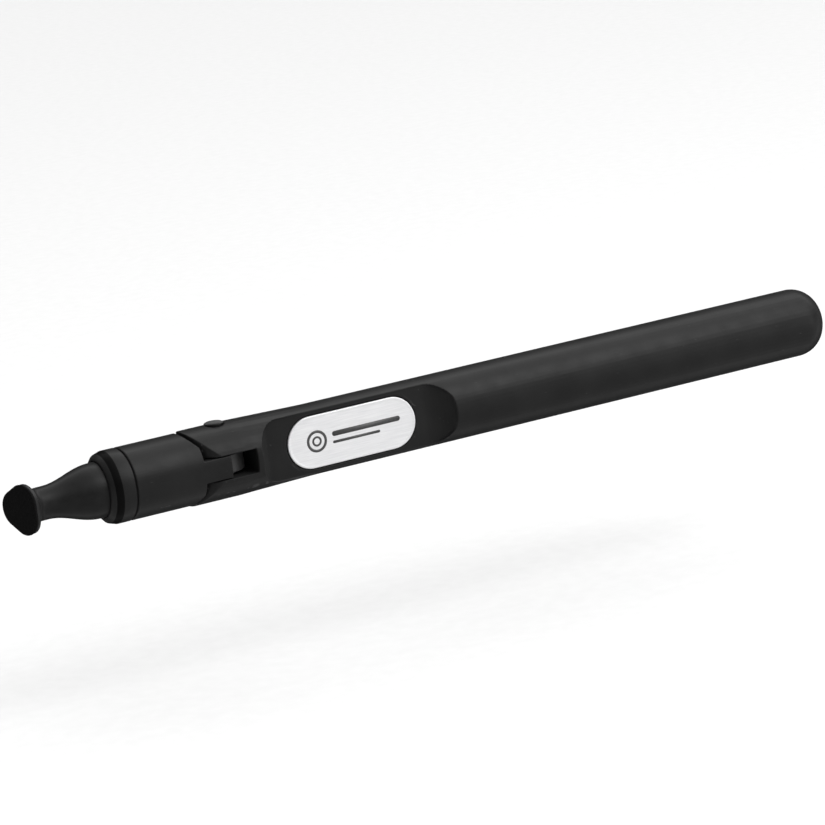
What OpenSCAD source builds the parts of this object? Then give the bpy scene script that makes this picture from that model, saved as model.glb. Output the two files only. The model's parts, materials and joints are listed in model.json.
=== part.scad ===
// Lens cleaning pen with an articulated head.
// The pen lies along X with its tip towards -X. The origin is the centre of the flat tail end,
// the label faces -Y and the hinge pin stands along Z.

/* [Handle] */
// Distance from the tail end to the hinge pin
tail_to_pivot = 113.6; // [95:0.2:125]
// Radius of the handle at the hinge
hinge_r = 6.1; // [6:0.05:6.3]
// Radius of the handle from the grip to the tail
handle_r = 5.75; // [5.7:0.05:5.9]
// Radius of the rounding round the domed tail end
tail_round = 4.6; // [3:0.1:5]
// Radius of the moulding bore that opens at the tail
bore_r = 3; // [2.4:0.1:3.2]

/* [Finger recess] */
// Height of the recess floor above the pen's axis
floor_h = 2.5; // [2.2:0.1:3]
// Start of the recess behind the pin
recess_start = 5.3; // [5:0.1:7]
// End of the flat floor behind the pin, where the scoop begins
floor_end = 35.8; // [34.5:0.1:38]
// Radius of the scoop that climbs back to the surface
scoop_r = 5; // [4:0.1:5.5]

/* [Label] */
// Length of the label plate
label_l = 23.1; // [18:0.1:24]
// Width of the label plate
label_w = 8.5; // [7:0.1:9]
// Thickness of the label plate
label_t = 0.4; // [0.3:0.05:0.6]

/* [Hinge] */
// Width of the slot between the two ears
slot_w = 3.9; // [3.6:0.05:4.2]
// Distance from the pin to the closed end of the slot
slot_end = 4.2; // [4.15:0.05:4.8]
// Radius of the tang's rounded end about the pin
tang_r = 4; // [3.6:0.05:4]
// Radius of the hinge pin
pin_r = 1.1; // [0.9:0.05:1.2]
// Radius of the pin's head
pin_head_r = 1.6; // [1.5:0.05:1.8]

/* [Head] */
// Radius of the barrel and of the collar
barrel_r = 5.9; // [5.8:0.05:6]
// Distance from the pin to the groove between the barrel and the collar
groove_at = 16.8; // [15:0.1:20]
// Length of the collar, from the groove to its mouth
collar_l = 4.2; // [4:0.1:6]

/* [Tip] */
// Radius of the rubber cone at the collar's mouth
cone_r = 4.45; // [4:0.05:4.5]
// Radius of the rubber neck
neck_r = 2.66; // [2.3:0.02:3]
// Distance from the pin to the narrowest place of the neck
neck_at = 30.2; // [29:0.1:31.5]
// Distance from the pin to the place where the neck leans over
bend_at = 31.7; // [31.6:0.1:34]
// Lean of the tip towards the label's side
pad_slant = 18; // [0:1:25]
// Distance from the lean of the neck to the pad's face
face_at = 3.25; // [3:0.05:4]

/* [Hidden] */

$fn = 96;
steps = 16;                             // points along each curved stretch of a profile
far = 40;                               // larger than the pen is thick, for cuts that run out of it
slip = 0.05;                            // gap between pieces that are pushed together
film_t = 0.1;                           // thickness of an adhesive film

// Handle
hinge_run = 2;                          // the hinge radius carries on this far behind the pin
grip_at = 16;                           // from here on the handle has its thinner radius
bore_l = 66;                            // depth of the moulding bore
plug_l = 9;                             // length of the tail plug
recess_half = sqrt(handle_r * handle_r - floor_h * floor_h) - 0.08;
recess_corner = 3.9;                    // corner radius of the recess at its hinge end
ramp_r = 2.5;                           // radius between the floor and the hinge end's wall
label_mid = 22.7;                       // middle of the label plate behind the pin
pocket_gap = 0.15;                      // gap round the label plate
pocket_d = 0.35;                        // depth of the pocket under the label plate

// Hinge
ear_gap = 0.5;                          // gap between the ears and the barrel's hollow end
barrel_end = 4.9;                       // the barrel's rear edge, in front of the pin
tongue_end = 0.3;                       // the tongue's free end, in front of the pin
tongue_w = slot_w - 0.34;
tongue_floor = 4.25;                    // height of the tongue's underside above the axis
tang_w = slot_w - 1;
tang_half = tongue_floor - slip;
tang_plug = [11.5, 6.75];               // the round plug's two ends, in front of the pin
tang_plug_r = 4.25;
washer_r = [pin_r + slip, 2.7];         // inner and outer radius of a friction washer
washer_gap = 0.03;                      // running gap between a friction washer and its ear
washer_t = (slot_w - tang_w) / 2 - washer_gap;
sink_r = pin_head_r + slip;             // counterbores at the pin's two ends
sink_floor = 4.9;                       // height of the counterbore floors above the axis
head_rise = 0.45;                       // the pin's head stands this far out of the handle
dish_t = 0.3;                           // height of the dished washer
cap_face = 5.86;                        // the cap's outer face, below the handle's surface
cap_grip = 0.6;                         // length of shank inside the cap

// Head
barrel_bore_r = tang_plug_r + slip;
groove_w = 0.35;
groove_r = barrel_r - 0.35;
collar_front = groove_at + collar_l;
lip_r = 4.8;                            // outer radius of the collar's mouth
taper_l = 1.8;                          // length of the taper and the blunt lip together
shoulder_l = 0.65;                      // length of the blunt lip in front of the taper
shoulder_r = 5.55;                      // radius where the taper meets the lip
flange_r = 5;                           // radius of the pocket that holds the boot's flange
flange_front = collar_front - 1.2;
core_r = 3.6;
stem_r = 1.7;
stem_front = 26;

// Tip
lean_r = neck_r + 0.05;                 // radius of the ball where the neck leans over
flare_r = 2.5;                          // radius of the flare under the pad
tip_side_r = 2.96;                      // rounding radius of the pad's outline
tip_corner = 1.31;                      // distance of each rounding's centre from the middle
pad_t = 0.5;
plate_t = 0.4;
plate_back = face_at - pad_t - film_t - plate_t;
peg_r = 1.2;                            // socket for the short peg of the pad plate inside the neck
peg_l = 1.2;

// Moves a shape from the pin to the place of the pin on the pen
module at_pin() {
  translate([-tail_to_pivot, 0, 0]) children();
}

// Turns a profile of [distance behind the pin, radius] points about the pen's axis
module turned(profile) {
  rotate([0, 90, 0]) rotate_extrude() polygon([for (p = profile) [p[1], p[0]]]);
}

// Outline of the recess as seen from the label's side
module recess_outline() {
  hinge_corner = recess_half - recess_corner;
  translate([recess_start + recess_corner, -recess_half])
    square([floor_end - recess_start - recess_corner, 2 * recess_half]);
  translate([recess_start, -hinge_corner])
    square([recess_corner + 1, 2 * hinge_corner]);
  for (side = [-1, 1])
    translate([recess_start + recess_corner, side * hinge_corner]) circle(recess_corner);
  translate([floor_end, 0]) circle(recess_half);
}

// What the finger recess takes away on the label's side
module recess_cut() {
  ramp_end = recess_start + ramp_r;
  intersection() {
    rotate([90, 0, 0]) linear_extrude(far) recess_outline();
    translate([0, 0, -far / 2]) linear_extrude(far) {
      translate([ramp_end, -floor_h - far]) square([floor_end - ramp_end, far]);
      translate([ramp_end, -floor_h - ramp_r]) circle(ramp_r);
      translate([0, -floor_h - far]) square([ramp_end, far - ramp_r]);
      translate([floor_end, -floor_h - scoop_r]) circle(scoop_r);
      translate([floor_end, -floor_h - far]) square([scoop_r, far - scoop_r]);
    }
  }
}

// Stadium of the given size, as wide as it is tall at its ends
module stadium(l, w) {
  square([l - w, w], center = true);
  for (side = [-1, 1]) translate([side * (l - w) / 2, 0]) circle(w / 2);
}

// A layer on the recess floor under or at the label, from one depth to another
module label_layer(l, w, from, to) {
  translate([label_mid, -from, 0]) rotate([90, 0, 0]) linear_extrude(to - from) stadium(l, w);
}

// Points along the tail's rounding, from a slope of the given angle to the flat end
function tail_arc(from) = [for (i = [0:steps]) let (a = from + (90 - from) * i / steps)
  [tail_round * (sin(a) - 1), handle_r - tail_round * (1 - cos(a))]];

module handle_shape() {
  turned(concat(
    [[-far, 0], [-far, hinge_r], [hinge_run, hinge_r], [grip_at, handle_r]],
    [for (p = tail_arc(0)) [p[0] + tail_to_pivot, p[1]]],
    [[tail_to_pivot, 0]]));
}

module handle_body() {
  color("#1d1d1f") at_pin() difference() {
    intersection() {
      handle_shape();
      union() {
        cylinder(h = far, r = hinge_r, center = true);
        translate([0, -far / 2, -far / 2]) cube([tail_to_pivot, far, far]);
      }
    }
    translate([-far, -far / 2, -slot_w / 2]) cube([far + slot_end, far, slot_w]);
    recess_cut();
    mirror([0, 1, 0]) recess_cut();
    label_layer(label_l + 2 * pocket_gap, label_w + 2 * pocket_gap, floor_h - pocket_d, floor_h + 1);
    translate([tail_to_pivot - bore_l, 0, 0]) rotate([0, 90, 0]) cylinder(h = bore_l + 1, r = bore_r);
    cylinder(h = far, r = pin_r, center = true);
    translate([0, 0, sink_floor]) cylinder(h = far, r = sink_r);
    translate([0, 0, -sink_floor - far]) cylinder(h = far, r = sink_r);
  }
}

// Plug of the moulding bore, whose outer face carries on the dome of the tail
module tail_plug() {
  plug_r = bore_r - slip;
  lead = 0.6;
  edge = acos(1 - (handle_r - plug_r) / tail_round);
  color("#202022") turned(concat([[-plug_l, 0], [-plug_l, plug_r - lead], [lead - plug_l, plug_r]],
                                 tail_arc(edge), [[0, 0]]));
}

module label_adhesive() {
  back = floor_h - pocket_d;
  color("#d8d8d0") at_pin() label_layer(label_l - 0.4, label_w - 0.4, back, back + film_t);
}

module label_plate() {
  back = floor_h - pocket_d + film_t;
  color("#e8e8ea") at_pin() label_layer(label_l, label_w, back, back + label_t);
}

// Hinge pin: a shank, a sunk head and a low dome
module pivot_pin() {
  head_floor = sink_floor + dish_t;
  dome = 0.4;
  top = hinge_r + head_rise;
  shank_end = sink_floor + cap_grip - slip;
  color("#2a2a2c") at_pin() rotate_extrude() polygon(concat(
    [[0, -shank_end], [pin_r, -shank_end], [pin_r, head_floor], [pin_head_r, head_floor]],
    [for (i = [0:steps]) let (a = 90 * i / steps) [pin_head_r * cos(a), top - dome + dome * sin(a)]]));
}

module spring_washer() {
  inner = pin_r + slip;
  rim = 0.12;
  color("#9a9a98") at_pin() translate([0, 0, sink_floor]) rotate_extrude()
    polygon([[pin_head_r, 0], [pin_head_r, rim], [inner, dish_t], [inner, dish_t - rim]]);
}

module pin_cap() {
  color("#2a2a2c") at_pin() difference() {
    translate([0, 0, -cap_face]) cylinder(h = cap_face - sink_floor, r = pin_head_r);
    translate([0, 0, -sink_floor - cap_grip]) cylinder(h = far, r = pin_r);
  }
}

// The part of the barrel that runs in the handle's slot on one side of the tang
module tongue() {
  intersection() {
    turned([[-groove_at, 0], [-groove_at, barrel_r], [-tongue_end, barrel_r], [-tongue_end, 0]]);
    translate([-barrel_end - 1, -far, -tongue_w / 2]) cube([far, far - tongue_floor, tongue_w]);
  }
}

module head_barrel() {
  edge = 0.15;
  inner = barrel_bore_r;
  color("#1d1d1f") at_pin() {
    difference() {
      turned([[-groove_at, inner], [-groove_at, barrel_r - edge], [edge - groove_at, barrel_r],
              [-barrel_end, barrel_r], [-barrel_end, inner]]);
      cylinder(h = far, r = hinge_r + ear_gap, center = true);
    }
    tongue();
    mirror([0, 1, 0]) tongue();
  }
}

module hinge_tang() {
  color("#4a4a4c") at_pin() difference() {
    union() {
      translate([-tang_plug[0], 0, 0]) rotate([0, 90, 0])
        cylinder(h = tang_plug[0] - tang_plug[1], r = tang_plug_r);
      intersection() {
        translate([-tang_plug[1] - 1, -tang_half, -tang_w / 2])
          cube([tang_plug[1] + 1 - tongue_end, 2 * tang_half, tang_w]);
        turned([[-far, 0], [-far, tang_plug_r], [0, tang_plug_r], [0, 0]]);
      }
      cylinder(h = tang_w, r = tang_r, center = true);
    }
    cylinder(h = far, r = pin_r + slip, center = true);
  }
}

module friction_washers() {
  middle = (tang_w + washer_t) / 2;
  color("#c9c2a8") at_pin() for (side = [-1, 1]) translate([0, 0, side * middle]) difference() {
    cylinder(h = washer_t, r = washer_r[1], center = true);
    cylinder(h = far, r = washer_r[0], center = true);
  }
}

// Stiff core of the tip: a spigot in the barrel, a rim in the groove and a stem inside the rubber
module tip_holder() {
  spigot_r = barrel_bore_r - slip;
  spigot_l = 4.3;
  shoulder = groove_at + groove_w;
  color("#101011") at_pin() turned([
    [-stem_front, 0], [-stem_front, stem_r], [-flange_front, stem_r], [-flange_front, core_r],
    [-shoulder, core_r], [-shoulder, groove_r], [-groove_at, groove_r], [-groove_at, spigot_r],
    [spigot_l - groove_at, spigot_r], [spigot_l - groove_at, 0]]);
}

// Ring round the mouth, with a taper and a blunt lip in front and a pocket for the boot's flange
module collar_ring() {
  back = groove_at + groove_w;
  mouth_r = cone_r + slip;
  color("#1d1d1f") at_pin() turned([
    [-back, flange_r], [-back, barrel_r], [taper_l - collar_front, barrel_r],
    [shoulder_l - collar_front, shoulder_r], [-collar_front, lip_r],
    [-collar_front, mouth_r], [-flange_front, mouth_r], [-flange_front, flange_r]]);
}

// Radius of the rubber between the cone and the neck, at a distance in front of the pin
function boot_radius(at, cone_end) =
  neck_r + (cone_r - neck_r) * (1 - cos(180 * (neck_at - at) / (neck_at - cone_end))) / 2;

// Moves a shape that faces -X to the leaning end of the neck
module at_tip() {
  translate([-bend_at, 0, 0]) rotate([0, 0, pad_slant]) children();
}

// Outline of the pad: a triangle with fully rounded corners, one corner towards the front
module pad_outline(inset) {
  reach = tip_side_r - inset;
  corners = [for (i = [0:2]) 90 + 120 * i];
  for (a = corners) translate(tip_corner * [cos(a), sin(a)]) circle(reach);
  polygon([for (a = corners) for (turn = [-60, 60])
    tip_corner * [cos(a), sin(a)] + reach * [cos(a + turn), sin(a + turn)]]);
}

// A slice of the tip with the pad's outline, between two distances from the lean of the neck
module tip_layer(from, to, inset) {
  at_tip() rotate([0, -90, 0]) translate([0, 0, from]) linear_extrude(to - from) pad_outline(inset);
}

// The rubber under the pad plate, which widens from the neck to the pad's outline
module flare() {
  intersection() {
    at_tip() turned(concat(
      [[0, 0], [0, neck_r]],
      [for (i = [1:steps]) let (d = plate_back * i / steps)
        [-d, neck_r + flare_r - sqrt(flare_r * flare_r - d * d)]],
      [[-plate_back, 0]]));
    tip_layer(0, plate_back, 0.15);
  }
}

module rubber_boot() {
  cone_end = collar_front + 0.7;
  flange_back = groove_at + groove_w + slip;
  color("#2b2c2e") at_pin() difference() {
    union() {
      turned(concat(
        [[-flange_back, 0], [-flange_back, flange_r - slip], [slip - flange_front, flange_r - slip],
         [slip - flange_front, cone_r], [-cone_end, cone_r]],
        [for (i = [1:steps]) let (at = cone_end + (neck_at - cone_end) * i / steps)
          [-at, boot_radius(at, cone_end)]],
        [[-bend_at, neck_r], [-bend_at, 0]]));
      translate([-bend_at, 0, 0]) sphere(lean_r, $fn = 48);
      flare();
    }
    at_tip() rotate([0, -90, 0]) {
      translate([0, 0, plate_back - peg_l]) cylinder(h = far, r = peg_r);
      translate([0, 0, plate_back]) cylinder(h = far, r = flange_r);
    }
    turned([[-stem_front - slip, 0], [-stem_front - slip, stem_r + slip],
            [-flange_front - slip, stem_r + slip], [-flange_front - slip, core_r + slip],
            [0, core_r + slip], [0, 0]]);
  }
}

module pad_plate() {
  color("#151516") at_pin() {
    tip_layer(plate_back, plate_back + plate_t, 0.1);
    at_tip() rotate([0, -90, 0]) translate([0, 0, plate_back - peg_l + slip])
      cylinder(h = peg_l, r = peg_r - slip);
  }
}

module pad_adhesive() {
  color("#1c1b1a") at_pin() tip_layer(face_at - pad_t - film_t, face_at - pad_t, 0.1);
}

module cleaning_pad() {
  color("#0b0b0c") at_pin() tip_layer(face_at - pad_t, face_at, 0);
}

handle_body();
tail_plug();
label_plate();
label_adhesive();
pivot_pin();
spring_washer();
pin_cap();
head_barrel();
hinge_tang();
friction_washers();
tip_holder();
collar_ring();
rubber_boot();
pad_plate();
pad_adhesive();
cleaning_pad();
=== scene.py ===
"""Lens cleaning pen: looks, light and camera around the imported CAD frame. All lengths are in metres."""

import json
import math

import bmesh
import bpy
from mathutils import Matrix, Vector, noise


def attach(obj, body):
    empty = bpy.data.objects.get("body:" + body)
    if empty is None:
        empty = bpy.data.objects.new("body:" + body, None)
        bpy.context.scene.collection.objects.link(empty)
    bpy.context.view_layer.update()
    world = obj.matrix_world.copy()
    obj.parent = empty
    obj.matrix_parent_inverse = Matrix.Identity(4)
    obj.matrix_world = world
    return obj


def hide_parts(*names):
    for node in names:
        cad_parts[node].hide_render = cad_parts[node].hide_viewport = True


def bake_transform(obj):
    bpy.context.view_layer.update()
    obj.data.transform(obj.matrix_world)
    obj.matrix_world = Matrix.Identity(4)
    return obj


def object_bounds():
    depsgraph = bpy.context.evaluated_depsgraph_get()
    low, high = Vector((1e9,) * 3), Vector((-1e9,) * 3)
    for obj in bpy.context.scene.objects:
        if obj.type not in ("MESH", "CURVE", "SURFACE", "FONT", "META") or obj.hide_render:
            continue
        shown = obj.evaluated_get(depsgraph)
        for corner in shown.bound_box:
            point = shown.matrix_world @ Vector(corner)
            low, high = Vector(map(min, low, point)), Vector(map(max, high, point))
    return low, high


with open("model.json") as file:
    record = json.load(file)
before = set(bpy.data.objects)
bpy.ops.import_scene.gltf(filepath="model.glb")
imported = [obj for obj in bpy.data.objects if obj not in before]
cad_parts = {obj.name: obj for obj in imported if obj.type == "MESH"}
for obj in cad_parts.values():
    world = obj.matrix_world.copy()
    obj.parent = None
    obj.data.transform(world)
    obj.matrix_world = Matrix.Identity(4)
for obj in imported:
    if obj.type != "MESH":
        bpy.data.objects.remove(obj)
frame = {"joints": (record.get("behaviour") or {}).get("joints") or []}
CAD_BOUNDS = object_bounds()

MM = 0.001
PIN = Vector(next(joint["pos_m"] for joint in frame["joints"] if joint["name"] == "head_pivot"))
UP = Vector((0, 0, 1))

# The pen lies along X. "At" is a distance in front of the hinge pin, towards the tip.
BARREL_R = 5.9 * MM
GROOVE_FRONT = 17.15 * MM
COLLAR_EDGE = 19.2 * MM
COLLAR_FRONT = 21.0 * MM
SHOULDER_AT = 20.35 * MM
SHOULDER_R = 5.55 * MM
LIP_R = 4.8 * MM
MOUTH_R = 4.5 * MM
FLANGE_R = 5.0 * MM
FLANGE_FRONT = 19.8 * MM
HOLLOW_R = 3.7 * MM

CONE_R = 4.45 * MM
CONE_END = 21.7 * MM
NECK_R = 2.66 * MM
NECK_AT = 30.2 * MM
BEND_AT = 31.7 * MM
LEAN = math.radians(18)
LEAN_ARC = 1.5 * MM
FLARE_R = 2.5 * MM
PLATE_BACK = 2.25 * MM
PAD_BACK = 2.75 * MM
PAD_FACE = 3.25 * MM
PAD_SIDE_R = 2.96 * MM
PAD_CORNER = 1.31 * MM

LABEL_MID = 22.7 * MM
LABEL_L = 23.1 * MM
LABEL_W = 8.5 * MM
LABEL_BACK = 2.25 * MM
LABEL_FACE = 2.65 * MM
PRINT_T = 0.012 * MM

# How finely the CAD shapes are remeshed, how far they are smoothed, and the share of triangles then kept.
HANDLE_VOXEL = 0.11 * MM
HEAD_VOXEL = 0.08 * MM
SMOOTH_PASSES = 4
KEPT_SHARE = 0.35

# Sharpness at which a plastic edge starts to lighten, partly as wear and partly as a painted highlight, and
# at which it is fully lightened.
EDGE_LOW = 0.6
EDGE_HIGH = 0.7


# ---------------------------------------------------------------- small shape tools


def turns(count):
    """Angles of a full circle in equal steps."""
    return [2 * math.pi * index / count for index in range(count)]


def axis_point(at, radius, angle):
    """A point at a distance in front of the pin and a radius round the pen's axis."""
    return PIN + Vector((-at, radius * math.cos(angle), radius * math.sin(angle)))


def add_object(name, data):
    thing = bpy.data.objects.new(name, data)
    bpy.context.scene.collection.objects.link(thing)
    return thing


def rounded(points, radius, steps=5):
    """The open outline with its inner corners eased by a curve, up to about the given radius."""
    outline = [Vector(points[0])]
    for before, corner, after in zip(points, points[1:], points[2:]):
        corner = Vector(corner)
        into = (corner - Vector(before)).normalized()
        out = (Vector(after) - corner).normalized()
        turn = into.angle(out)
        room = 0.45 * min((corner - Vector(before)).length, (Vector(after) - corner).length)
        reach = min(radius * math.tan(turn / 2), room)
        start, end = corner - into * reach, corner + out * reach
        for step in range(steps + 1):
            share = step / steps
            outline.append(start.lerp(corner, share).lerp(corner.lerp(end, share), share))
    outline.append(Vector(points[-1]))
    return outline


def bridge_rings(bm, rings, closed_ends=False):
    """Quads between rings of the same number of vertices, and fans over the first and last ring."""
    for ring, following in zip(rings, rings[1:]):
        for index in range(len(ring)):
            after = (index + 1) % len(ring)
            bm.faces.new((ring[index], ring[after], following[after], following[index]))
    if closed_ends:
        for ring in (rings[0], rings[-1]):
            middle = bm.verts.new(sum((vert.co for vert in ring), Vector()) / len(ring))
            for index in range(len(ring)):
                bm.faces.new((middle, ring[index], ring[(index + 1) % len(ring)]))


def add_piece(name, bm, body, material, nodes=()):
    """A new smooth-shaded piece that rides a body, if one is given, and stands for the named CAD nodes."""
    bmesh.ops.recalc_face_normals(bm, faces=bm.faces)
    mesh = bpy.data.meshes.new(name)
    bm.to_mesh(mesh)
    bm.free()
    mesh.shade_smooth()
    mesh.materials.append(material)
    piece = add_object(name, mesh)
    if body:
        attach(piece, body)
    for node in nodes:
        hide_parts(node)
    return piece


def lathe(bm, profile, segments=192):
    """Rings of vertices from points of (distance in front of the pin, radius) about the pen's axis."""
    return [
        [bm.verts.new(axis_point(at, radius, angle)) for angle in turns(segments)]
        for at, radius in profile
    ]


def softened(node, name, body, material, voxel):
    """A copy of a CAD node with moulded edges: remeshed, smoothed and thinned out again."""
    source = bpy.data.objects[node]
    mesh = source.data.copy()
    mesh.transform(source.matrix_world)
    work = add_object(name + "_work", mesh)
    remesh = work.modifiers.new("remesh", "REMESH")
    remesh.mode = "VOXEL"
    remesh.voxel_size = voxel
    smooth = work.modifiers.new("smooth", "SMOOTH")
    smooth.factor = 0.5
    smooth.iterations = SMOOTH_PASSES
    thin = work.modifiers.new("thin", "DECIMATE")
    thin.ratio = KEPT_SHARE
    bpy.context.view_layer.update()
    result = bpy.data.meshes.new_from_object(work.evaluated_get(bpy.context.evaluated_depsgraph_get()))
    bm = bmesh.new()
    bm.from_mesh(result)
    bpy.data.objects.remove(work)
    bpy.data.meshes.remove(mesh)
    bpy.data.meshes.remove(result)
    return add_piece(name, bm, body, material, [node])


# ---------------------------------------------------------------- materials


class Nodes:
    """Short calls for building one material's node tree."""

    def __init__(self, name):
        self.material = bpy.data.materials.new(name)
        self.material.use_nodes = True
        self.tree = self.material.node_tree
        self.shader = self.tree.nodes["Principled BSDF"]
        self.place = self.tree.nodes.new("ShaderNodeTexCoord").outputs["Object"]

    def add(self, kind, **settings):
        node = self.tree.nodes.new(kind)
        for key, value in settings.items():
            setattr(node, key, value)
        return node

    def link(self, source, target):
        self.tree.links.new(source, target)

    def stretched(self, scale):
        mapping = self.add("ShaderNodeMapping")
        mapping.inputs["Scale"].default_value = scale
        self.link(self.place, mapping.inputs["Vector"])
        return mapping.outputs["Vector"]

    def noise(self, size, detail=3.0, place=None):
        texture = self.add("ShaderNodeTexNoise")
        texture.inputs["Scale"].default_value = 1 / size
        texture.inputs["Detail"].default_value = detail
        self.link(place or self.place, texture.inputs["Vector"])
        return texture.outputs["Fac"]

    def spread(self, source, low, high, to_low, to_high):
        node = self.add("ShaderNodeMapRange")
        for socket, value in zip(("From Min", "From Max", "To Min", "To Max"), (low, high, to_low, to_high)):
            node.inputs[socket].default_value = value
        self.link(source, node.inputs["Value"])
        return node.outputs["Result"]

    def blend(self, share, first, second):
        node = self.add("ShaderNodeMix", data_type="RGBA")
        for socket, value in ((node.inputs[6], first), (node.inputs[7], second)):
            if isinstance(value, tuple):
                socket.default_value = (*value, 1)
            else:
                self.link(value, socket)
        self.link(share, node.inputs[0])
        return node.outputs[2]

    def worn_and_highlit_edges(self):
        """Mask for edge wear and painted highlight: 0 on flat and hollow places, up to 1 on sharp outward
        edges, broken up by a noise.
        """
        sharpness = self.add("ShaderNodeNewGeometry").outputs["Pointiness"]
        edge = self.spread(sharpness, EDGE_LOW, EDGE_HIGH, 0, 1)
        broken = self.spread(self.noise(1.2 * MM), 0.35, 0.65, 0.3, 1)
        product = self.add("ShaderNodeMath", operation="MULTIPLY")
        self.link(edge, product.inputs[0])
        self.link(broken, product.inputs[1])
        return product.outputs[0]

    def matte_rim(self, rough):
        """Roughness that rises to fully matte where the surface turns away, as on a grained moulding."""
        weight = self.add("ShaderNodeLayerWeight")
        weight.inputs["Blend"].default_value = 0.5
        rim = self.spread(weight.outputs["Facing"], 0.25, 0.7, 0, 1)
        highest = self.add("ShaderNodeMath", operation="MAXIMUM")
        self.link(rough, highest.inputs[0])
        self.link(rim, highest.inputs[1])
        return highest.outputs[0]

    def bump(self, height, distance, strength=1.0, under=None):
        node = self.add("ShaderNodeBump")
        node.inputs["Distance"].default_value = distance
        node.inputs["Strength"].default_value = strength
        self.link(height, node.inputs["Height"])
        if under:
            self.link(under, node.inputs["Normal"])
        return node.outputs["Normal"]


def grey(value):
    return (value, value, value)


def moulded_plastic(name, dark, light, edge_wear_and_highlight, gloss, specular):
    """Grained plastic: two close tones in patches, uneven gloss, and sharp edges lightened partly as wear and
    partly as a painted highlight.
    """
    nodes = Nodes(name)
    patch = nodes.spread(nodes.noise(7 * MM, 4), 0.35, 0.65, 0, 1)
    body = nodes.blend(patch, grey(dark), grey(light))
    # Sharp edges take a lighter tone: partly wear, partly a painted highlight.
    nodes.link(nodes.blend(nodes.worn_and_highlit_edges(), body, grey(edge_wear_and_highlight)), nodes.shader.inputs["Base Color"])
    rough = nodes.spread(nodes.noise(2.5 * MM, 5), 0.3, 0.7, gloss - 0.05, gloss + 0.06)
    nodes.link(nodes.matte_rim(rough), nodes.shader.inputs["Roughness"])
    fine = nodes.bump(nodes.noise(0.22 * MM, 2), 0.006 * MM)
    ripple = nodes.bump(nodes.noise(5 * MM, 1), 0.02 * MM, 0.5, fine)
    nodes.link(ripple, nodes.shader.inputs["Normal"])
    nodes.shader.inputs["Specular IOR Level"].default_value = specular
    return nodes.material


def soft_rubber(name):
    """Dark grey rubber with slightly paler patches and faint moulding rings."""
    nodes = Nodes(name)
    patch = nodes.spread(nodes.noise(2.2 * MM, 5), 0.35, 0.7, 0, 1)
    nodes.link(nodes.blend(patch, grey(0.005), grey(0.008)), nodes.shader.inputs["Base Color"])
    rough = nodes.spread(nodes.noise(1.1 * MM, 4), 0.3, 0.7, 0.4, 0.52)
    nodes.link(nodes.matte_rim(rough), nodes.shader.inputs["Roughness"])
    fine = nodes.bump(nodes.noise(0.16 * MM, 3), 0.008 * MM)
    rings = nodes.bump(nodes.noise(0.5 * MM, 2, nodes.stretched((1, 0.05, 0.05))), 0.012 * MM, 0.6, fine)
    nodes.link(rings, nodes.shader.inputs["Normal"])
    nodes.shader.inputs["Specular IOR Level"].default_value = 0.1
    return nodes.material


def napped_chamois(name):
    """Deep black nap with soft lighter fibres."""
    nodes = Nodes(name)
    fibre = nodes.spread(nodes.noise(0.12 * MM, 4), 0.4, 0.75, 0, 1)
    nodes.link(nodes.blend(fibre, grey(0.0025), grey(0.008)), nodes.shader.inputs["Base Color"])
    nodes.link(nodes.spread(fibre, 0, 1, 0.85, 1), nodes.shader.inputs["Roughness"])
    nap = nodes.bump(nodes.noise(0.12 * MM, 4), 0.05 * MM)
    nodes.link(nodes.bump(nodes.noise(0.6 * MM, 2), 0.04 * MM, 0.6, nap), nodes.shader.inputs["Normal"])
    nodes.shader.inputs["Specular IOR Level"].default_value = 0.04
    return nodes.material


def brushed_silver(name):
    """Silver foil brushed along the pen, with uneven gloss."""
    nodes = Nodes(name)
    brush = nodes.noise(1.0, 4, nodes.stretched((300, 9000, 9000)))
    tone = nodes.spread(brush, 0.3, 0.7, 0, 1)
    nodes.link(nodes.blend(tone, (0.51, 0.51, 0.52), (0.6, 0.6, 0.605)), nodes.shader.inputs["Base Color"])
    nodes.link(nodes.spread(nodes.noise(3 * MM, 4), 0.3, 0.7, 0.34, 0.46), nodes.shader.inputs["Roughness"])
    nodes.link(nodes.bump(brush, 0.004 * MM), nodes.shader.inputs["Normal"])
    nodes.shader.inputs["Metallic"].default_value = 0.35
    return nodes.material


def satin_metal(name, dark, light, gloss, specular):
    """Satin metal in two close tones, with uneven gloss and a fine grain."""
    nodes = Nodes(name)
    patch = nodes.spread(nodes.noise(0.8 * MM, 4), 0.35, 0.65, 0, 1)
    nodes.link(nodes.blend(patch, grey(dark), grey(light)), nodes.shader.inputs["Base Color"])
    rough = nodes.spread(nodes.noise(0.4 * MM, 4), 0.3, 0.7, gloss - 0.06, gloss + 0.06)
    nodes.link(rough, nodes.shader.inputs["Roughness"])
    nodes.link(nodes.bump(nodes.noise(0.15 * MM, 2), 0.004 * MM), nodes.shader.inputs["Normal"])
    nodes.shader.inputs["Metallic"].default_value = 0.6
    nodes.shader.inputs["Specular IOR Level"].default_value = specular
    return nodes.material


def printed_ink(name):
    """Dark grey ink, slightly uneven in tone and gloss."""
    nodes = Nodes(name)
    ink = nodes.spread(nodes.noise(0.3 * MM, 4), 0.35, 0.65, 0, 1)
    nodes.link(nodes.blend(ink, grey(0.02), grey(0.035)), nodes.shader.inputs["Base Color"])
    nodes.link(nodes.spread(nodes.noise(0.5 * MM), 0.3, 0.7, 0.45, 0.6), nodes.shader.inputs["Roughness"])
    nodes.link(nodes.bump(nodes.noise(0.1 * MM), 0.002 * MM), nodes.shader.inputs["Normal"])
    return nodes.material
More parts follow.
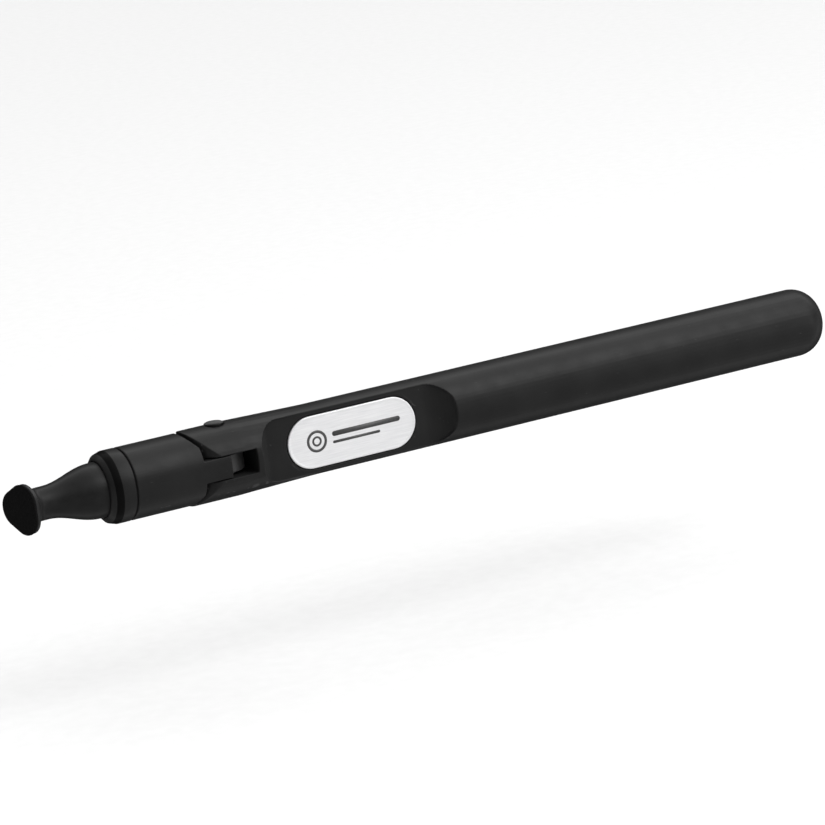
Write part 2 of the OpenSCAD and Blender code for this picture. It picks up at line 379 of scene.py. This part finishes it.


# Name, dark tone, light tone, tone of sharp edges (wear and painted highlight), middle roughness, specular
# level.
BODY_PLASTIC = moulded_plastic("body_plastic", 0.007, 0.0095, 0.04, 0.42, 0.095)
# A darker, glossier copy of the body plastic for the collar's taper: painted shade where that face turns away
# from the light.
TAPER_PAINTED_SHADE = moulded_plastic("taper_painted_shade", 0.002, 0.003, 0.01, 0.34, 0.02)
# A lighter, shinier copy of the body plastic for the hinge tang: painted light, so the tang in its slot reads
# as lit.
TANG_PAINTED_LIGHT = moulded_plastic("tang_plastic", 0.024, 0.03, 0.05, 0.42, 0.25)
CORE_PLASTIC = moulded_plastic("core_plastic", 0.003, 0.004, 0.01, 0.45, 0.2)
WASHER_NYLON = moulded_plastic("washer_nylon", 0.5, 0.6, 0.6, 0.45, 0.4)
FILM = moulded_plastic("adhesive_film", 0.4, 0.5, 0.5, 0.5, 0.4)
RUBBER = soft_rubber("tip_rubber")
CHAMOIS = napped_chamois("pad_chamois")
SILVER = brushed_silver("label_silver")
PIN_METAL = satin_metal("pin_metal", 0.003, 0.005, 0.42, 0.15)
SPRING = satin_metal("spring_metal", 0.35, 0.5, 0.35, 0.5)
INK = printed_ink("label_ink")

NODE_LOOKS = {
    "tail_plug": BODY_PLASTIC,
    "label_adhesive": FILM,
    "pivot_pin": PIN_METAL,
    "spring_washer": SPRING,
    "pin_cap": PIN_METAL,
    "friction_washers": WASHER_NYLON,
    "tip_holder": CORE_PLASTIC,
    "pad_plate": CORE_PLASTIC,
    "pad_adhesive": CORE_PLASTIC,
}


def dress_nodes():
    """Gives the CAD nodes that stay visible their materials."""
    for node, material in NODE_LOOKS.items():
        for slot in bpy.data.objects[node].material_slots:
            slot.material = material


# ---------------------------------------------------------------- pieces


def make_collar():
    """Ring round the mouth: a straight wall, a taper in a darker copy of the plastic as painted shade, and a
    rounded lip.
    """
    back = (GROOVE_FRONT, BARREL_R)
    edge = (COLLAR_EDGE, BARREL_R)
    shoulder = (SHOULDER_AT, SHOULDER_R)
    mouth = (COLLAR_FRONT, MOUTH_R)
    pocket_back = (GROOVE_FRONT, FLANGE_R)
    pocket_front = (FLANGE_FRONT, FLANGE_R)
    # Easing radius, material index and corners of each section.
    sections = (
        (0.12 * MM, 0, [pocket_back, back, edge]),
        (0, 1, [edge, shoulder]),
        (0.5 * MM, 0, [shoulder, (COLLAR_FRONT, LIP_R), mouth]),
        (0.05 * MM, 0, [mouth, (FLANGE_FRONT, MOUTH_R), pocket_front, pocket_back]),
    )
    bm = bmesh.new()
    for radius, material_index, corners in sections:
        done = len(bm.faces)
        bridge_rings(bm, lathe(bm, rounded(corners, radius)))
        bm.faces.ensure_lookup_table()
        for face in bm.faces[done:]:
            face.material_index = material_index
    bmesh.ops.remove_doubles(bm, verts=bm.verts, dist=0.001 * MM)
    collar = add_piece("collar", bm, "head", BODY_PLASTIC, ["collar_ring"])
    # Second slot: the darker copy of the plastic, painted shade on the taper.
    collar.data.materials.append(TAPER_PAINTED_SHADE)


def pad_radius(angle, inset):
    """Distance from the middle to the pad's outline; angle 0 is its corner away from the label."""
    reach = PAD_SIDE_R - inset
    apart = (angle + math.pi / 3) % (2 * math.pi / 3) - math.pi / 3
    on_side = math.radians(60) - abs(apart)
    side = (reach + PAD_CORNER / 2) / math.cos(on_side)
    round_end = PAD_CORNER * math.cos(apart) + math.sqrt(reach**2 - (PAD_CORNER * math.sin(apart)) ** 2)
    along_side = math.tan(on_side) * (reach + PAD_CORNER / 2)
    return side if along_side < PAD_CORNER * math.sin(math.radians(60)) else round_end


def tip_point(depth, radius, angle):
    """A point on the leaning tip, depth in front of the lean point of the neck."""
    outward = Vector((-math.cos(LEAN), -math.sin(LEAN), 0))
    farward = Vector((-math.sin(LEAN), math.cos(LEAN), 0))
    bend = PIN - Vector((BEND_AT, 0, 0))
    return bend + outward * depth + (farward * math.cos(angle) + UP * math.sin(angle)) * radius


def lean_point(depth, radius, angle):
    """A point on the rubber where it leans over along an arc, depth in front of the lean point."""
    if depth > LEAN_ARC:
        return tip_point(depth, radius, angle)
    turn = LEAN * (depth + LEAN_ARC) / (2 * LEAN_ARC)
    bend_r = LEAN_ARC / math.tan(LEAN / 2)
    start = PIN - Vector((BEND_AT - LEAN_ARC, 0, 0))
    centre = start + Vector((-math.sin(turn), -1 + math.cos(turn), 0)) * bend_r
    farward = Vector((-math.sin(turn), math.cos(turn), 0))
    return centre + (farward * math.cos(angle) + UP * math.sin(angle)) * radius


def flare_radius(depth, angle):
    """Radius of the rubber in front of the neck: an outward sweep, eased into the pad's outline."""
    sweep = NECK_R + FLARE_R - math.sqrt(FLARE_R**2 - max(depth, 0) ** 2)
    limit = pad_radius(angle, 0.1 * MM)
    ease = 0.12 * MM
    return limit - math.log1p(math.exp((limit - sweep) / ease)) * ease


def cone_radius(at):
    """Radius of the rubber from its root to the neck."""
    share = min(max((at - CONE_END) / (NECK_AT - CONE_END), 0), 1)
    return NECK_R + (CONE_R - NECK_R) * (1 + math.cos(math.pi * share)) / 2


def make_boot():
    """Rubber boot: root inside the collar, cone, neck, lean and a flare that meets the pad's outline."""
    segments, cone_steps, lean_steps = 144, 48, 56
    angles = turns(segments)
    slip = 0.05 * MM
    flange_back, flange_front, flange_r = GROOVE_FRONT + slip, FLANGE_FRONT - slip, FLANGE_R - slip
    root = [
        (flange_back, HOLLOW_R), (flange_back, flange_r),
        (flange_front, flange_r), (flange_front, CONE_R), (CONE_END, CONE_R),
    ]
    profile = rounded(root, 0.1 * MM)
    for step in range(1, cone_steps + 1):
        at = CONE_END + (NECK_AT - CONE_END) * step / cone_steps
        profile.append((at, cone_radius(at)))
    bm = bmesh.new()
    rings = lathe(bm, profile, segments)
    for step in range(1, lean_steps + 1):
        depth = NECK_AT - BEND_AT + (PLATE_BACK - NECK_AT + BEND_AT) * step / lean_steps
        rings.append([bm.verts.new(lean_point(depth, flare_radius(depth, angle), angle)) for angle in angles])
    bridge_rings(bm, rings, closed_ends=True)
    boot = add_piece("rubber_tip", bm, None, RUBBER, ["rubber_boot"])
    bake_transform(boot)


def make_pad():
    """Crowned chamois pad with rounded rim and a slightly uneven nap."""
    rim_steps, face_steps = 10, 26
    angles = turns(168)
    rim = 0.16 * MM
    dome = 0.03 * MM
    bm = bmesh.new()
    rings = [[bm.verts.new(tip_point(PAD_BACK, pad_radius(angle, 0.12 * MM), angle)) for angle in angles]]
    for step in range(rim_steps + 1):
        turn = math.pi / 2 * step / rim_steps
        inset = rim * (1 - math.cos(turn))
        depth = PAD_FACE - dome - rim * (1 - math.sin(turn))
        rings.append([bm.verts.new(tip_point(depth, pad_radius(angle, inset), angle)) for angle in angles])
    for step in range(1, face_steps):
        share = 1 - step / face_steps
        depth = PAD_FACE - dome * share**2
        rings.append([
            bm.verts.new(tip_point(depth, pad_radius(angle, rim) * share, angle)) for angle in angles
        ])
    bridge_rings(bm, rings, closed_ends=True)
    nap, fibre = 0.03 * MM, 0.22 * MM
    bmesh.ops.recalc_face_normals(bm, faces=bm.faces)
    for vert in bm.verts:
        vert.co -= vert.normal * nap * (0.5 + 0.5 * noise.noise(vert.co / fibre))
    pad = add_piece("chamois_pad", bm, "tip", CHAMOIS, ["cleaning_pad"])


def stadium(length, width, steps=32):
    """Points round a stadium along X, in the XZ plane, anticlockwise."""
    radius = width / 2
    points = []
    for side in (1, -1):
        for step in range(steps + 1):
            angle = math.pi * (step / steps - 0.5) + (0 if side > 0 else math.pi)
            middle = side * (length / 2 - radius)
            points.append(Vector((middle + radius * math.cos(angle), 0, radius * math.sin(angle))))
    return points


def make_label():
    """Silver plate with a fine bevelled rim and a very slightly sunk middle."""
    middle = PIN + Vector((LABEL_MID, 0, 0))
    # Distance from the pen's axis and inset from the plate's outline, from back to front.
    layers = [
        (LABEL_BACK, 0.0),
        (LABEL_FACE - 0.1 * MM, 0.0),
        (LABEL_FACE - 0.04 * MM, 0.02 * MM),
        (LABEL_FACE, 0.1 * MM),
        (LABEL_FACE, 0.3 * MM),
        (LABEL_FACE - 0.02 * MM, 0.36 * MM),
        (LABEL_FACE - 0.02 * MM, 0.6 * MM),
    ]
    bm = bmesh.new()
    rings = []
    for out, inset in layers:
        outline = stadium(LABEL_L - 2 * inset, LABEL_W - 2 * inset)
        rings.append([bm.verts.new(middle + point - Vector((0, out, 0))) for point in outline])
    bridge_rings(bm, rings)
    bm.faces.new(rings[0])
    bm.faces.new(rings[-1])
    add_piece("label_face", bm, "handle", SILVER, ["label_plate"])


def flat_ring(bm, centre, outer, inner):
    """A flat ring facing the label's side."""
    rings = []
    for radius in (outer, inner):
        points = [Vector((radius * math.cos(angle), 0, radius * math.sin(angle))) for angle in turns(64)]
        rings.append([bm.verts.new(centre + point) for point in points])
    bridge_rings(bm, rings)


def make_label_mark():
    """A plain printed mark: two rings and two lines."""
    middle = PIN + Vector((LABEL_MID, -LABEL_FACE + PRINT_T, 0))
    bm = bmesh.new()
    lens = middle - Vector((6.4 * MM, 0, 0))
    flat_ring(bm, lens, 1.8 * MM, 1.35 * MM)
    flat_ring(bm, lens, 0.85 * MM, 0.5 * MM)
    # Height above the middle, length and thickness of each line.
    for height, length, thick in ((0.6 * MM, 12.4 * MM, 0.85 * MM), (-0.75 * MM, 8.6 * MM, 0.45 * MM)):
        start = middle + Vector((-3.6 * MM + length / 2, 0, height))
        bm.faces.new([bm.verts.new(start + point) for point in stadium(length, thick, 8)])
    lifted = bmesh.ops.extrude_face_region(bm, geom=bm.faces[:])
    for part in lifted["geom"]:
        if isinstance(part, bmesh.types.BMVert):
            part.co.y += PRINT_T
    add_piece("label_mark", bm, "handle", INK)


# ---------------------------------------------------------------- camera, floor and light

CAMERA_AZIMUTH = -26.7
CAMERA_ELEVATION = 12.7
CAMERA_ROLL = 7.21
CAMERA_DISTANCE = 665.4 * MM
CAMERA_LENS = 179.0
AIM = PIN + Vector((35.2, 0, 0.28)) * MM


def make_camera():
    """The photograph's viewing angle, with the pen centred."""
    azimuth = math.radians(CAMERA_AZIMUTH)
    elevation = math.radians(CAMERA_ELEVATION)
    level = Vector((-math.sin(azimuth), math.cos(azimuth), 0))
    forward = level * math.cos(elevation) - UP * math.sin(elevation)
    data = bpy.data.cameras.new("camera")
    data.lens = CAMERA_LENS
    data.sensor_width = 36
    data.clip_start = 0.01
    data.clip_end = 20
    camera = add_object("camera", data)
    turn = forward.to_track_quat("-Z", "Y").to_matrix() @ Matrix.Rotation(-math.radians(CAMERA_ROLL), 3, "Z")
    camera.matrix_world = Matrix.Translation(AIM - forward * CAMERA_DISTANCE) @ turn.to_4x4()
    bpy.context.scene.camera = camera


def make_floor():
    """A pale floor, a little below the pen so that its shadow stays soft."""
    half = 6.0
    level = CAD_BOUNDS[0][2] - FLOOR_DROP
    mesh = bpy.data.meshes.new("floor")
    corners = [(-half, -half), (half, -half), (half, half), (-half, half)]
    mesh.from_pydata([(x, y, level) for x, y in corners], [], [(0, 1, 2, 3)])
    floor = add_object("floor", mesh)
    nodes = Nodes("floor_paper")
    fibre = nodes.spread(nodes.noise(3 * MM, 3), 0.3, 0.7, 0, 1)
    nodes.link(nodes.blend(fibre, grey(0.56), grey(0.58)), nodes.shader.inputs["Base Color"])
    nodes.shader.inputs["Roughness"].default_value = 0.9
    nodes.shader.inputs["Specular IOR Level"].default_value = 0.1
    mesh.materials.append(nodes.material)


FLOOR_DROP = 30 * MM
# Strength of the light tent near the horizon, overhead, and its factors at the left and right.
TENT_LOW = 0.1
TENT_HIGH = 2.3
TENT_LEFT = 0.3
TENT_RIGHT = 1.3
# Name, place from the pin, size and power of each softbox.
SOFTBOXES = (
    ("key_softbox", Vector((0.35, -0.45, 0.5)), 0.45, 3.4),
    ("side_softbox", Vector((0.62, -0.6, 0.06)), 0.22, 1.2),
)


def make_world():
    """A light tent: bright overhead, brighter to the right than to the left, dark round the horizon."""
    world = bpy.data.worlds.new("light_tent")
    world.use_nodes = True
    tree = world.node_tree
    split = tree.nodes.new("ShaderNodeSeparateXYZ")
    tree.links.new(tree.nodes.new("ShaderNodeTexCoord").outputs["Generated"], split.inputs[0])
    product = tree.nodes.new("ShaderNodeMath")
    product.operation = "MULTIPLY"
    ramps = (("Z", 0.2, 0.6, TENT_LOW, TENT_HIGH), ("X", -0.8, 0.8, TENT_LEFT, TENT_RIGHT))
    for index, (axis, *limits) in enumerate(ramps):
        ramp = tree.nodes.new("ShaderNodeMapRange")
        ramp.interpolation_type = "SMOOTHSTEP"
        for socket, value in zip(("From Min", "From Max", "To Min", "To Max"), limits):
            ramp.inputs[socket].default_value = value
        tree.links.new(split.outputs[axis], ramp.inputs["Value"])
        tree.links.new(ramp.outputs["Result"], product.inputs[index])
    background = tree.nodes["Background"]
    background.inputs["Color"].default_value = (1, 1, 1, 1)
    tree.links.new(product.outputs[0], background.inputs["Strength"])
    bpy.context.scene.world = world
    bpy.context.scene.view_settings.view_transform = "Standard"


def make_softboxes():
    """Square softboxes turned to the middle of the pen."""
    for name, away, size, power in SOFTBOXES:
        data = bpy.data.lights.new(name, "AREA")
        data.shape = "SQUARE"
        data.size = size
        data.energy = power
        light = add_object(name, data)
        turn = (AIM - PIN - away).to_track_quat("-Z", "Y").to_matrix()
        light.matrix_world = Matrix.Translation(PIN + away) @ turn.to_4x4()


dress_nodes()
softened("handle_body", "handle_shell", "handle", BODY_PLASTIC, HANDLE_VOXEL)
softened("head_barrel", "head_shell", "head", BODY_PLASTIC, HEAD_VOXEL)
# The tang takes the lighter copy of the plastic, painted light.
softened("hinge_tang", "tang_block", "head", TANG_PAINTED_LIGHT, HEAD_VOXEL)
make_collar()
make_boot()
make_pad()
make_label()
make_label_mark()
make_camera()
make_floor()
make_world()
make_softboxes()
